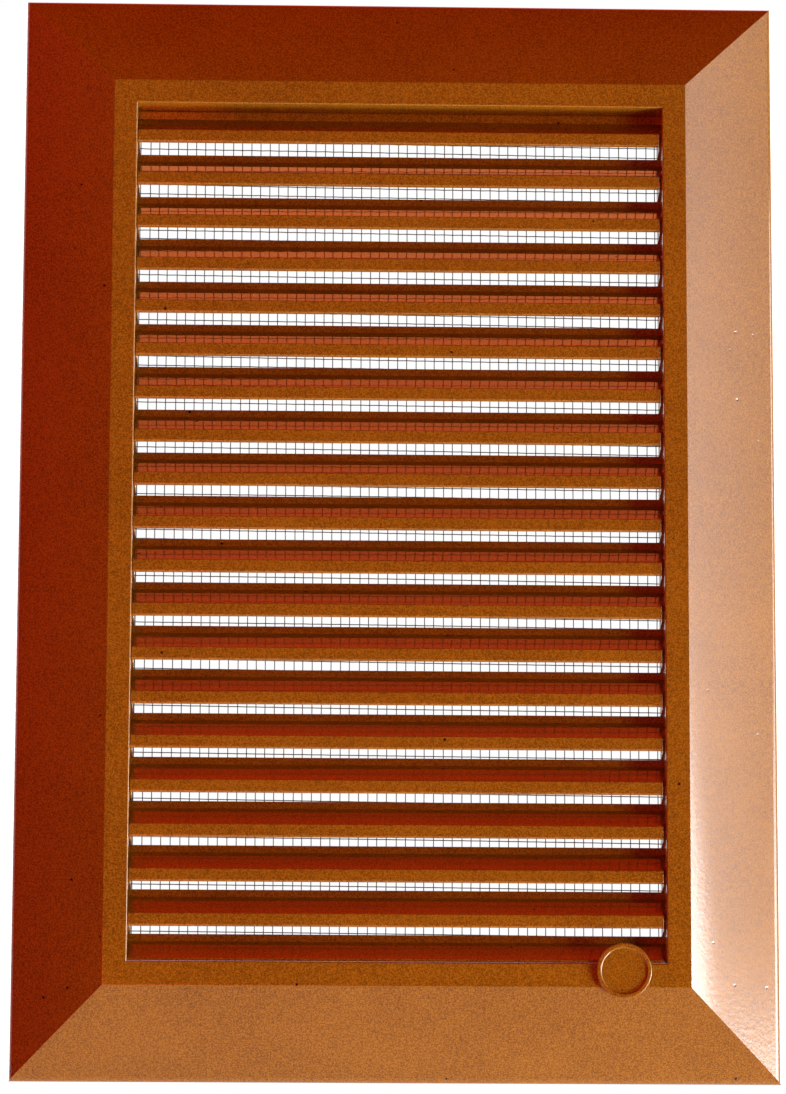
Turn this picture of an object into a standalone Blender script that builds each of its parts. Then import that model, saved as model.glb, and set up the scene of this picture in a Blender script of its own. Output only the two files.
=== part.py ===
# Louvre vent for a 140 x 210 mm wall opening: a moulded frame with a wide falling border, nineteen like
# blades and a sill blade held in two side carriers, and an insect screen clamped behind them.
# Metres, +Z up. The front faces -Y. The plane y = 0 is the wall, and the origin is its centre.
# A frame section is drawn as (u, y): u runs outward from the opening's edge, y into the wall.
# A blade section is drawn as (y, z) from the lower front corner of the blade's lip.
import math

import bmesh
import bpy
from mathutils import Matrix, Vector

MM = 0.001

# Border and ring
OVERALL_WIDTH = 160.0 * MM
OVERALL_HEIGHT = 230.0 * MM
FACE_HEIGHT = 11.5 * MM  # ring plane in front of the wall
BORDER_WIDTH = 19.5 * MM  # sloping part, in plan
RING_WIDTH = 4.95 * MM
SHELL_WALL = 2.0 * MM
SLOPE_BULGE = 0.35 * MM  # how far the slope stands above a flat one
CREASE_RADIUS = 0.6 * MM
RIM_EDGE_RADIUS = 2.2 * MM
RIM_SIDE_HEIGHT = 1.2 * MM
RIM_FOOT_WIDTH = 2.4 * MM
MOUTH_RADIUS = 0.4 * MM  # rounding of the opening's front edge

# Collar that goes into the wall opening
WALL_OVERLAP = 12.0 * MM  # from the collar to the border's outer edge
COLLAR_WALL = 1.8 * MM
COLLAR_REACH = 14.0 * MM  # behind the wall plane
COLLAR_LEAD = 1.0 * MM
CRUSH_RIB_HEIGHT = 2.0 * MM  # reaches the sides of the wall opening
CRUSH_RIB_WIDTH = 1.2 * MM
CRUSH_RIB_LEAD = 6.0 * MM
CRUSH_RIB_COUNTS = (3, 2)  # on each long side, on each short side

# Walls round the opening, behind the ring
TUBE_WALL = 1.8 * MM
TUBE_OVERLAP = 1.0 * MM  # how deep the walls grow into the ring
GUSSET_THICKNESS = 1.2 * MM
GUSSET_RELIEF = 0.6 * MM  # free height between gussets and the wall plane
OUTER_GUSSET_COUNTS = (5, 3)
INNER_GUSSET_COUNTS = (4, 2)

# Blades
BLADE_COUNT = 20  # the lowest is the sill blade
BLADE_DEPTH = 7.6 * MM
BLADE_THICKNESS = 1.4 * MM
LIP_HEIGHT = 2.65 * MM
LIP_RECESS = 0.5 * MM  # lips behind the ring plane
LIP_LOWER_RADIUS = 0.4 * MM
LIP_UPPER_RADIUS = 0.3 * MM
FLANGE_WALL = 0.9 * MM  # upright strip along a blade's back edge
FLANGE_HEIGHT = 1.5 * MM
FLANGE_EDGE_RADIUS = 0.25 * MM
SILL_NOSE_RADIUS = 0.15 * MM
SIGHT_GAP = 1.2 * MM  # height of the straight way between a lip and the blade below
SILL_RISE = 0.6 * MM  # sill blade's nose above the opening's lower edge
TONGUE_LENGTH = 1.2 * MM  # blade end inside its carrier

# Carriers
CARRIER_WALL = 1.8 * MM
CARRIER_STEP = 0.45 * MM  # narrower behind the line from a lip to the next back edge

# Insect screen and its frame
WIRE_PITCH = 1.96 * MM
WIRE_DIAMETER = 0.2 * MM
WIRE_SIDES = 6
WIRE_LAYER_GAP = 0.05 * MM
SCREEN_MARGIN = 3.2 * MM  # mesh beyond the opening's edge
SCREEN_FRAME_THICKNESS = 1.6 * MM
SCREEN_FRAME_INSET = 0.6 * MM
SCREEN_FRAME_UPSTAND = 1.4 * MM
SCREEN_FRAME_UPSTAND_WALL = 1.4 * MM
LUG_REACH = 1.0 * MM
LUG_LENGTH = 12.0 * MM
LUG_DEPTH = 2.4 * MM
SNAP_LUG_COUNTS = (2, 1)

# Round disc at the lower right
DISC_RADIUS = 5.65 * MM
DISC_RIM_WIDTH = 0.9 * MM
DISC_RIM_HEIGHT = 0.35 * MM
DISC_FACE = 0.85 * MM  # disc floor in front of the ring plane
DISC_EDGE_RADIUS = 0.2 * MM
DISC_FROM_RIGHT = 8.9 * MM  # centre, inward from the opening's right edge
DISC_BELOW = 1.65 * MM  # centre, below the opening's lower edge
DISC_PEG_RADIUS = 1.2 * MM
DISC_PEG_LENGTH = 1.2 * MM
DISC_STEPS = 64

# Clearances
FIT = 0.3 * MM  # between pieces that seat on each other
BLADE_BACK_ROOM = 0.8 * MM  # from a blade's back edge to the screen side of the walls
TOP_ROOM = 0.35 * MM  # from the top blade's back edge to the opening's top wall
CUT_PAST = 1.0 * MM  # how far a cutter runs past what it cuts
WELD_IN = 0.4 * MM  # how deep a rib or lug grows into its wall
WELD_DISTANCE = 0.01 * MM

ARC_STEPS = 5
SLOPE_STEPS = 8
MERGE_DISTANCE = 0.1 * MM
SHARP_ANGLE = math.radians(30)

HALF_OPENING_WIDTH = OVERALL_WIDTH / 2 - BORDER_WIDTH - RING_WIDTH
HALF_OPENING_HEIGHT = OVERALL_HEIGHT / 2 - BORDER_WIDTH - RING_WIDTH
RIM_U = BORDER_WIDTH + RING_WIDTH
RING_Y = -FACE_HEIGHT
RING_BACK_Y = RING_Y + SHELL_WALL
LIP_Y = RING_Y + LIP_RECESS
BLADE_BACK_Y = LIP_Y + BLADE_DEPTH
TUBE_BACK_Y = BLADE_BACK_Y + BLADE_BACK_ROOM
CARRIER_FRONT_Y = RING_BACK_Y + FIT
CARRIER_OUTER_X = HALF_OPENING_WIDTH + CARRIER_WALL
CARRIER_INNER_X = HALF_OPENING_WIDTH - CARRIER_STEP
CARRIER_HALF_HEIGHT = HALF_OPENING_HEIGHT - FIT
TUBE_HALF_WIDTH = CARRIER_OUTER_X + FIT
COLLAR_U = RIM_U - WALL_OVERLAP
COLLAR_INNER_U = COLLAR_U - COLLAR_WALL

# The blades share the opening's height: the top one ends under the top wall, the sill blade's nose
# stands SILL_RISE above the lower edge.
BLADE_PITCH = (2 * HALF_OPENING_HEIGHT - TOP_ROOM + SIGHT_GAP - SILL_RISE + LIP_HEIGHT) / BLADE_COUNT
BACK_EDGE_RISE = BLADE_PITCH - SIGHT_GAP
FLANGE_FRONT = BLADE_DEPTH - FLANGE_WALL  # behind the lip's front
FLANGE_FOOT_RISE = BACK_EDGE_RISE - FLANGE_HEIGHT
BLADE_ANGLE = math.atan2(FLANGE_FOOT_RISE - LIP_HEIGHT, FLANGE_FRONT)
PLATE_UPRIGHT = BLADE_THICKNESS / math.cos(BLADE_ANGLE)  # plate thickness measured along Z
TOP_LIP_Z = HALF_OPENING_HEIGHT - TOP_ROOM - BACK_EDGE_RISE
LIP_HALF_LENGTH = HALF_OPENING_WIDTH - FIT
TONGUE_HALF_LENGTH = CARRIER_INNER_X + TONGUE_LENGTH
SLOT_HALF_LENGTH = TONGUE_HALF_LENGTH + FIT

SCREEN_FRONT_Y = TUBE_BACK_Y + FIT
SCREEN_BACK_Y = SCREEN_FRONT_Y + 2 * WIRE_DIAMETER + WIRE_LAYER_GAP
SCREEN_FRAME_FRONT_Y = SCREEN_BACK_Y + FIT
SCREEN_FRAME_BACK_Y = SCREEN_FRAME_FRONT_Y + SCREEN_FRAME_THICKNESS

DISC_X = HALF_OPENING_WIDTH - DISC_FROM_RIGHT
DISC_Z = -HALF_OPENING_HEIGHT - DISC_BELOW
DISC_FLOOR_Y = RING_Y - DISC_FACE
DISC_FRONT_Y = DISC_FLOOR_Y - DISC_RIM_HEIGHT
DISC_PEG_END_Y = RING_Y - FIT + DISC_PEG_LENGTH


def clear_scene():
    for obj in list(bpy.data.objects):
        bpy.data.objects.remove(obj, do_unlink=True)


def make_collection(name):
    collection = bpy.data.collections.new(name)
    bpy.context.scene.collection.children.link(collection)
    return collection


def make_material(name, color, roughness, metallic=0.0):
    material = bpy.data.materials.new(name)
    material.use_nodes = True
    shader = material.node_tree.nodes["Principled BSDF"]
    shader.inputs["Base Color"].default_value = (*color, 1.0)
    shader.inputs["Roughness"].default_value = roughness
    shader.inputs["Metallic"].default_value = metallic
    return material


def smooth(mesh):
    mesh.shade_smooth()
    mesh.set_sharp_from_angle(angle=SHARP_ANGLE)


def add_part(name, mesh, material):
    obj = bpy.data.objects.new(name, mesh)
    if not mesh.materials:
        mesh.materials.append(material)
    parts.objects.link(obj)
    return obj


def add_tool(name, mesh):
    obj = bpy.data.objects.new(name, mesh)
    obj.display_type = "WIRE"
    obj.hide_render = True
    tools.objects.link(obj)
    return obj


def add_boolean(obj, operation, tool):
    modifier = obj.modifiers.new(tool.name, "BOOLEAN")
    modifier.operation = operation
    modifier.object = tool
    return modifier


def evaluated_mesh(obj):
    depsgraph = bpy.context.evaluated_depsgraph_get()
    depsgraph.update()
    return bpy.data.meshes.new_from_object(obj.evaluated_get(depsgraph))


def close_mesh(mesh):
    """Weld the mesh and turn its faces outward."""
    bm = bmesh.new()
    bm.from_mesh(mesh)
    bmesh.ops.remove_doubles(bm, verts=bm.verts, dist=WELD_DISTANCE)
    bmesh.ops.recalc_face_normals(bm, faces=bm.faces)
    bm.to_mesh(mesh)
    bm.free()
    return mesh


def join_meshes(name, meshes):
    """Put several closed bodies into one mesh."""
    bm = bmesh.new()
    for mesh in meshes:
        bm.from_mesh(mesh)
        bpy.data.meshes.remove(mesh)
    joined = bpy.data.meshes.new(name)
    bm.to_mesh(joined)
    bm.free()
    return joined


def filleted(corners):
    """Outline points for corners given as (a, b, radius), each round stretch as a short arc."""
    outline = []
    for i, (a, b, radius) in enumerate(corners):
        here = Vector((a, b))
        if radius == 0:
            outline.append(here)
            continue
        before = Vector(corners[i - 1][:2])
        after = Vector(corners[(i + 1) % len(corners)][:2])
        to_before = (before - here).normalized()
        to_after = (after - here).normalized()
        half_angle = to_before.angle(to_after) / 2
        centre = here + (to_before + to_after).normalized() * radius / math.sin(half_angle)
        start = here + to_before * radius / math.tan(half_angle)
        end = here + to_after * radius / math.tan(half_angle)
        turn = (start - centre).angle_signed(end - centre)
        for step in range(ARC_STEPS + 1):
            angle = -turn * step / ARC_STEPS
            spoke = start - centre
            outline.append(centre + Vector((
                spoke.x * math.cos(angle) - spoke.y * math.sin(angle),
                spoke.x * math.sin(angle) + spoke.y * math.cos(angle),
            )))
    return outline


def extruded_outline(name, outline, length, frame):
    """Solid of a flat outline, drawn in the frame's first two axes and centred along its third."""
    curve = bpy.data.curves.new(name, "CURVE")
    curve.dimensions = "2D"
    curve.fill_mode = "BOTH"
    curve.extrude = length / 2
    spline = curve.splines.new("POLY")
    spline.points.add(len(outline) - 1)
    for point, (a, b) in zip(spline.points, outline):
        point.co = (a, b, 0, 1)
    spline.use_cyclic_u = True
    obj = bpy.data.objects.new(name, curve)
    tools.objects.link(obj)
    mesh = evaluated_mesh(obj)
    bpy.data.objects.remove(obj)
    bpy.data.curves.remove(curve)
    mesh.transform(frame)
    return close_mesh(mesh)


def turned(name, profile, steps, closed=False):
    """Turn a profile of (radius, height) points about the Z axis."""
    mesh = bpy.data.meshes.new(name)
    edges = [(i, i + 1) for i in range(len(profile) - 1)]
    if closed:
        edges.append((len(profile) - 1, 0))
    mesh.from_pydata([(radius, 0, height) for radius, height in profile], edges, [])
    obj = bpy.data.objects.new(name, mesh)
    tools.objects.link(obj)
    screw = obj.modifiers.new("turn", "SCREW")
    screw.axis = "Z"
    screw.angle = 2 * math.pi
    screw.steps = steps
    screw.render_steps = steps
    screw.use_merge_vertices = True
    screw.merge_threshold = MERGE_DISTANCE
    result = evaluated_mesh(obj)
    bpy.data.objects.remove(obj)
    bpy.data.meshes.remove(mesh)
    return close_mesh(result)


def mitred_ring(name, section, half_width, half_height, closed=True):
    """Sweep a (u, y) section round a rectangle, with mitred corners.

    Four turning steps give a square frame on its corners. It is turned upright, and its upper and lower
    halves are drawn apart to the rectangle's height."""
    profile = [((half_width + u) * math.sqrt(2), y) for u, y in section]
    mesh = turned(name, profile, 4, closed)
    mesh.transform(Matrix.Rotation(math.radians(-90), 4, "X") @ Matrix.Rotation(math.radians(45), 4, "Z"))
    stretch = half_height - half_width
    for vertex in mesh.vertices:
        if abs(vertex.co.z) > WELD_DISTANCE:
            vertex.co.z += math.copysign(stretch, vertex.co.z)
    return close_mesh(mesh)


def block(name, low, high):
    """Rectangular block between two corners."""
    bm = bmesh.new()
    bmesh.ops.create_cube(bm, size=1.0)
    size = [b - a for a, b in zip(low, high)]
    centre = [(a + b) / 2 for a, b in zip(low, high)]
    bmesh.ops.scale(bm, vec=size, verts=bm.verts)
    bmesh.ops.translate(bm, vec=centre, verts=bm.verts)
    mesh = bpy.data.meshes.new(name)
    bm.to_mesh(mesh)
    bm.free()
    return mesh


def rod(name, start, end, radius, sides):
    """Round rod between two points."""
    axis = Vector(end) - Vector(start)
    bm = bmesh.new()
    bmesh.ops.create_cone(
        bm, cap_ends=True, segments=sides, radius1=radius, radius2=radius, depth=axis.length
    )
    bm.transform(Matrix.Translation((Vector(start) + Vector(end)) / 2)
                 @ axis.to_track_quat("Z", "Y").to_matrix().to_4x4())
    mesh = bpy.data.meshes.new(name)
    bm.to_mesh(mesh)
    bm.free()
    return mesh


def axes(first, second, third, origin=(0, 0, 0)):
    """Matrix whose columns are three directions and an origin."""
    matrix = Matrix((first, second, third)).transposed().to_4x4()
    matrix.translation = origin
    return matrix


def evenly(half_length, count):
    """Evenly spaced places along an edge, clear of its corners."""
    step = 2 * half_length / count
    return [-half_length + step * (i + 0.5) for i in range(count)]


def side_frames(counts):
    """Places for ribs, counted for a long and a short side: the first two axes are (u, y), the third
    runs along the edge."""
    frames = []
    for sign in (-1, 1):
        for z in evenly(HALF_OPENING_HEIGHT, counts[0]):
            origin = (sign * HALF_OPENING_WIDTH, 0, z)
            frames.append(axes((sign, 0, 0), (0, 1, 0), (0, 0, sign), origin))
        for x in evenly(HALF_OPENING_WIDTH, counts[1]):
            origin = (x, 0, sign * HALF_OPENING_HEIGHT)
            frames.append(axes((0, 0, sign), (0, 1, 0), (-sign, 0, 0), origin))
    return frames


def slope_line():
    """The slope's straight chord, from the crease to the rim's rounding, and that rounding's centre."""
    crease = Vector((RING_WIDTH, RING_Y))
    centre = Vector((RIM_U - RIM_EDGE_RADIUS, -RIM_SIDE_HEIGHT))
    reach = centre - crease
    # The chord leaves the crease tangent to the rounding's circle.
    angle = math.atan2(reach.y, reach.x) - math.asin(RIM_EDGE_RADIUS / reach.length)
    end = centre + Vector((math.sin(angle), -math.cos(angle))) * RIM_EDGE_RADIUS
    return crease, end, angle, centre


def slope_underside_y(u):
    crease, end, angle, centre = slope_line()
    foot = crease + Vector((-math.sin(angle), math.cos(angle))) * SHELL_WALL
    return foot.y + (u - foot.x) * math.tan(angle)


def slope_points(lift=0.0):
    """Outer skin of the slope past the crease, slightly bulging, or a line lifted off it."""
    crease, end, angle, centre = slope_line()
    outward = Vector((math.sin(angle), -math.cos(angle)))
    points = []
    for step in range(1, SLOPE_STEPS):
        share = step / SLOPE_STEPS
        bulge = SLOPE_BULGE * 4 * share * (1 - share)
        points.append(crease.lerp(end, share) + outward * (bulge + lift))
    return points


def rim_points():
    """Rounding from the slope's end to the rim's side."""
    crease, end, angle, centre = slope_line()
    points = []
    for step in range(ARC_STEPS + 1):
        turn = angle + (math.pi / 2 - angle) * step / ARC_STEPS
        points.append(centre + Vector((math.sin(turn), -math.cos(turn))) * RIM_EDGE_RADIUS)
    return points


def frame_section():
    """Closed section of the frame: ring, slope, rim and collar."""
    rim_inner_u = RIM_U - RIM_FOOT_WIDTH
    collar_root_y = slope_underside_y(COLLAR_INNER_U)
    ring_corner_u = COLLAR_INNER_U - (collar_root_y - RING_BACK_Y) / math.tan(slope_line()[2])
    corners = [(-CUT_PAST, RING_BACK_Y, 0), (-CUT_PAST, RING_Y, 0), (RING_WIDTH, RING_Y, CREASE_RADIUS)]
    corners += [(u, y, 0) for u, y in slope_points() + rim_points()]
    corners += [
        (RIM_U, 0, 0),
        (rim_inner_u, 0, 0),
        (rim_inner_u, slope_underside_y(rim_inner_u), 0),
        (COLLAR_U, slope_underside_y(COLLAR_U), 0),
        (COLLAR_U, COLLAR_REACH - COLLAR_LEAD, 0),
        (COLLAR_U - COLLAR_LEAD / 2, COLLAR_REACH, 0),
        (COLLAR_INNER_U, COLLAR_REACH, 0),
        (COLLAR_INNER_U, collar_root_y, 0),
        (ring_corner_u, RING_BACK_Y, 0),
    ]
    return filleted(corners)


def mouth_plug():
    """Cutter for the opening, flared at the front by the mouth's rounding."""
    section = [Vector((-HALF_OPENING_WIDTH, RING_Y - CUT_PAST)), Vector((MOUTH_RADIUS, RING_Y - CUT_PAST))]
    for step in range(ARC_STEPS + 1):
        angle = math.pi / 2 * step / ARC_STEPS
        section.append(Vector((
            MOUTH_RADIUS - MOUTH_RADIUS * math.sin(angle),
            RING_Y + MOUTH_RADIUS - MOUTH_RADIUS * math.cos(angle),
        )))
    section.append(Vector((0, TUBE_BACK_Y + CUT_PAST)))
    section.append(Vector((-HALF_OPENING_WIDTH, TUBE_BACK_Y + CUT_PAST)))
    return mitred_ring("mouth_plug", section, HALF_OPENING_WIDTH, HALF_OPENING_HEIGHT, closed=False)


def outer_gussets():
    """Webs under the slope, between the collar and the rim."""
    outline = [
        (COLLAR_U - WELD_IN, -GUSSET_RELIEF),
        (COLLAR_U - WELD_IN, slope_underside_y(COLLAR_U) - WELD_IN),
        (RIM_U - RIM_FOOT_WIDTH + WELD_IN, slope_underside_y(RIM_U - RIM_FOOT_WIDTH) - WELD_IN),
        (RIM_U - RIM_FOOT_WIDTH + WELD_IN, -GUSSET_RELIEF),
    ]
    frames = side_frames(OUTER_GUSSET_COUNTS)
    return [extruded_outline("gusset", outline, GUSSET_THICKNESS, frame) for frame in frames]


def inner_gussets():
    """Webs behind the ring, between the opening's walls and the collar."""
    meshes = []
    long_side_wall_u = TUBE_HALF_WIDTH + TUBE_WALL - HALF_OPENING_WIDTH
    for frame in side_frames(INNER_GUSSET_COUNTS):
        on_long_side = frame.col[0].x != 0
        start = (long_side_wall_u if on_long_side else TUBE_WALL) - WELD_IN
        outline = [
            (start, TUBE_BACK_Y - GUSSET_RELIEF),
            (start, RING_BACK_Y - WELD_IN),
            (RING_WIDTH, RING_BACK_Y - WELD_IN),
            (COLLAR_INNER_U + WELD_IN, slope_underside_y(COLLAR_INNER_U) - WELD_IN),
            (COLLAR_INNER_U + WELD_IN, TUBE_BACK_Y - GUSSET_RELIEF),
        ]
        meshes.append(extruded_outline("gusset", outline, GUSSET_THICKNESS, frame))
    return meshes


def crush_ribs():
    """Tapered ribs on the collar that grip the sides of the wall opening."""
    outline = [
        (COLLAR_U - WELD_IN, COLLAR_LEAD),
        (COLLAR_U + CRUSH_RIB_HEIGHT, COLLAR_LEAD + CRUSH_RIB_HEIGHT),
        (COLLAR_U + CRUSH_RIB_HEIGHT, COLLAR_REACH - COLLAR_LEAD - CRUSH_RIB_LEAD),
        (COLLAR_U - WELD_IN, COLLAR_REACH - COLLAR_LEAD),
    ]
    frames = side_frames(CRUSH_RIB_COUNTS)
    return [extruded_outline("crush_rib", outline, CRUSH_RIB_WIDTH, frame) for frame in frames]


def snap_lugs():
    """Wedges inside the collar that the screen frame snaps behind."""
    face_y = SCREEN_FRAME_BACK_Y + FIT
    outline = [
        (COLLAR_INNER_U + WELD_IN, face_y),
        (COLLAR_INNER_U - LUG_REACH, face_y),
        (COLLAR_INNER_U - LUG_REACH, face_y + WELD_IN),
        (COLLAR_INNER_U + WELD_IN, face_y + LUG_DEPTH),
    ]
    frames = side_frames(SNAP_LUG_COUNTS)
    return [extruded_outline("lug", outline, LUG_LENGTH, frame) for frame in frames]


def make_front_frame(material):
    body = mitred_ring("front_frame", frame_section(), HALF_OPENING_WIDTH, HALF_OPENING_HEIGHT)
    frame = add_part("front_frame", body, material)
    walls = block(
        "opening_walls",
        (-TUBE_HALF_WIDTH - TUBE_WALL, RING_BACK_Y - TUBE_OVERLAP, -HALF_OPENING_HEIGHT - TUBE_WALL),
        (TUBE_HALF_WIDTH + TUBE_WALL, TUBE_BACK_Y, HALF_OPENING_HEIGHT + TUBE_WALL),
    )
    add_boolean(frame, "UNION", add_tool("opening_walls", walls))
    recess = block(
        "carrier_recess",
        (-TUBE_HALF_WIDTH, RING_BACK_Y, -HALF_OPENING_HEIGHT),
        (TUBE_HALF_WIDTH, TUBE_BACK_Y + CUT_PAST, HALF_OPENING_HEIGHT),
    )
    add_boolean(frame, "DIFFERENCE", add_tool("carrier_recess", recess))
    add_boolean(frame, "DIFFERENCE", add_tool("mouth_plug", mouth_plug()))
    ribs = outer_gussets() + inner_gussets() + crush_ribs() + snap_lugs()
    add_boolean(frame, "UNION", add_tool("frame_ribs", join_meshes("frame_ribs", ribs)))
    bore = rod(
        "disc_bore",
        (DISC_X, RING_Y - CUT_PAST, DISC_Z),
        (DISC_X, DISC_PEG_END_Y + FIT, DISC_Z),
        DISC_PEG_RADIUS + FIT,
        DISC_STEPS // 2,
    )
    add_boolean(frame, "DIFFERENCE", add_tool("disc_bore", bore))
    return frame


def plate_top_z(y):
    """Height of a plate's upper face above its own lip's lower edge, y behind the lip's front."""
    return LIP_HEIGHT + y * math.tan(BLADE_ANGLE)


def flange_corners():
    """Back end of a blade's section: the upright flange, then the end of the plate's underside."""
    return [
        (FLANGE_FRONT, FLANGE_FOOT_RISE, FLANGE_EDGE_RADIUS),
        (FLANGE_FRONT, BACK_EDGE_RISE, FLANGE_EDGE_RADIUS),
        (BLADE_DEPTH, BACK_EDGE_RISE, FLANGE_EDGE_RADIUS),
        (BLADE_DEPTH, plate_top_z(BLADE_DEPTH) - PLATE_UPRIGHT, FLANGE_EDGE_RADIUS),
    ]


def blade_section():
    """One blade: a plate rising to an upright flange, with a lip hanging from its front edge."""
    return filleted([
        (0, 0, LIP_LOWER_RADIUS),
        (0, LIP_HEIGHT, LIP_UPPER_RADIUS),
        *flange_corners(),
        (BLADE_THICKNESS, plate_top_z(BLADE_THICKNESS) - PLATE_UPRIGHT, LIP_UPPER_RADIUS),
        (BLADE_THICKNESS, 0, LIP_LOWER_RADIUS),
    ])


def sill_section():
    """The lowest blade: the same plate, cut off level just above the opening's bottom wall."""
    base = LIP_HEIGHT - SILL_RISE + FIT
    level_y = (base + PLATE_UPRIGHT - LIP_HEIGHT) / math.tan(BLADE_ANGLE)
    return filleted([
        (0, base, 0),
        (0, LIP_HEIGHT, SILL_NOSE_RADIUS),
        *flange_corners(),
        (level_y, base, 0),
    ])


def blade_mesh(name, section):
    """Extrude a blade section, then leave only its tongues to reach into the carriers."""
    lying = axes((0, 1, 0), (0, 0, 1), (1, 0, 0), (0, LIP_Y, 0))
    body = extruded_outline(name, section, 2 * TONGUE_HALF_LENGTH, lying)
    blade = bpy.data.objects.new(name + "_blank", body)
    tools.objects.link(blade)
    ears = []
    for sign in (-1, 1):
        inner, outer = sorted((sign * LIP_HALF_LENGTH, sign * (TONGUE_HALF_LENGTH + CUT_PAST)))
        low = (inner, LIP_Y - CUT_PAST, -CUT_PAST)
        high = (outer, CARRIER_FRONT_Y + FIT, BLADE_PITCH)
        ears.append(block("ear", low, high))
    cutter = add_tool(name + "_ears", join_meshes("ears", ears))
    add_boolean(blade, "DIFFERENCE", cutter)
    mesh = close_mesh(evaluated_mesh(blade))
    bpy.data.objects.remove(blade)
    bpy.data.objects.remove(cutter)
    smooth(mesh)
    return mesh


def lip_z(index):
    """Lower edge of a blade's lip, counting from the top blade, 0."""
    return TOP_LIP_Z - index * BLADE_PITCH


def make_blades(material):
    shared = blade_mesh("louvre_blade", blade_section())
    for index in range(BLADE_COUNT - 1):
        blade = add_part("louvre_blade_%02d" % (index + 1), shared, material)
        blade.location.z = lip_z(index)
    sill = add_part("sill_blade", blade_mesh("sill_blade", sill_section()), material)
    sill.location.z = lip_z(BLADE_COUNT - 1)


def slot_outline(index):
    """Slot for a blade's tongue and flange end, open at the carrier's front and back."""
    front = CARRIER_FRONT_Y - CUT_PAST
    step = LIP_Y + FLANGE_FRONT - FIT
    back = TUBE_BACK_Y + CUT_PAST
    room = FIT / math.cos(BLADE_ANGLE)
    flange_room = lip_z(index) + BACK_EDGE_RISE + FIT
    corners = []
    for y in (front, step):
        corners.append((y, lip_z(index) + plate_top_z(y - LIP_Y) + room))
    corners += [(step, flange_room), (back, flange_room)]
    for y in (back, front):
        corners.append((y, lip_z(index) + plate_top_z(y - LIP_Y) - PLATE_UPRIGHT - room))
    return corners


def recess_outline(index):
    """Wall area above a blade that the front mould half forms: up to the line from the lip above to
    the top of this blade's flange."""
    front = CARRIER_FRONT_Y - CUT_PAST
    flange_y = LIP_Y + FLANGE_FRONT
    flange_top = lip_z(index) + BACK_EDGE_RISE
    corners = [
        (front, lip_z(index) + plate_top_z(front - LIP_Y)),
        (flange_y, lip_z(index) + FLANGE_FOOT_RISE),
        (flange_y, flange_top),
    ]
    if index == 0:
        ceiling = CARRIER_HALF_HEIGHT + CUT_PAST
        return corners + [(BLADE_BACK_Y, flange_top), (BLADE_BACK_Y, ceiling), (front, ceiling)]
    line_drop = SIGHT_GAP * (front - LIP_Y) / FLANGE_FRONT
    return corners + [(front, lip_z(index - 1) - line_drop)]


def make_carrier(name, sign, material):
    inner, outer = sorted((sign * CARRIER_INNER_X, sign * CARRIER_OUTER_X))
    body = block(
        name, (inner, CARRIER_FRONT_Y, -CARRIER_HALF_HEIGHT), (outer, TUBE_BACK_Y, CARRIER_HALF_HEIGHT)
    )
    carrier = add_part(name, body, material)
    recess_width = CARRIER_STEP + CUT_PAST
    recess_frame = axes(
        (0, 1, 0), (0, 0, 1), (1, 0, 0), (sign * (HALF_OPENING_WIDTH - recess_width / 2), 0, 0)
    )
    recesses = [
        extruded_outline("recess", recess_outline(i), recess_width, recess_frame) for i in range(BLADE_COUNT)
    ]
    add_boolean(carrier, "DIFFERENCE", add_tool(name + "_recesses", join_meshes("recesses", recesses)))
    slot_width = SLOT_HALF_LENGTH - CARRIER_INNER_X + CUT_PAST
    slot_frame = axes((0, 1, 0), (0, 0, 1), (1, 0, 0), (sign * (SLOT_HALF_LENGTH - slot_width / 2), 0, 0))
    slots = [extruded_outline("slot", slot_outline(i), slot_width, slot_frame) for i in range(BLADE_COUNT)]
    add_boolean(carrier, "DIFFERENCE", add_tool(name + "_slots", join_meshes("slots", slots)))
    return carrier


def wire_places(half_length):
    """Wire positions at the mesh pitch, symmetric about the middle."""
    count = int(half_length / WIRE_PITCH)
    return [WIRE_PITCH * i for i in range(-count, count + 1)]


def make_insect_screen(material):
    """Upright wires in front, level wires behind, all ending in an edge pressed flat for clamping."""
    radius = WIRE_DIAMETER / 2
    front_y = SCREEN_FRONT_Y + radius
    back_y = SCREEN_BACK_Y - radius
    section = [
        (SCREEN_FRAME_INSET, SCREEN_FRONT_Y),
        (SCREEN_MARGIN, SCREEN_FRONT_Y),
        (SCREEN_MARGIN, SCREEN_BACK_Y),
        (SCREEN_FRAME_INSET, SCREEN_BACK_Y),
    ]
    edge = mitred_ring("insect_screen", section, HALF_OPENING_WIDTH, HALF_OPENING_HEIGHT)
    screen = add_part("insect_screen", edge, material)
    reach_x = HALF_OPENING_WIDTH + (SCREEN_FRAME_INSET + SCREEN_MARGIN) / 2
    reach_z = HALF_OPENING_HEIGHT + (SCREEN_FRAME_INSET + SCREEN_MARGIN) / 2
    wires = []
    for x in wire_places(HALF_OPENING_WIDTH):
        wires.append(rod("wire", (x, front_y, -reach_z), (x, front_y, reach_z), radius, WIRE_SIDES))
    for z in wire_places(HALF_OPENING_HEIGHT):
        wires.append(rod("wire", (-reach_x, back_y, z), (reach_x, back_y, z), radius, WIRE_SIDES))
    add_boolean(screen, "UNION", add_tool("wires", join_meshes("wires", wires)))
    return screen


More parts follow.
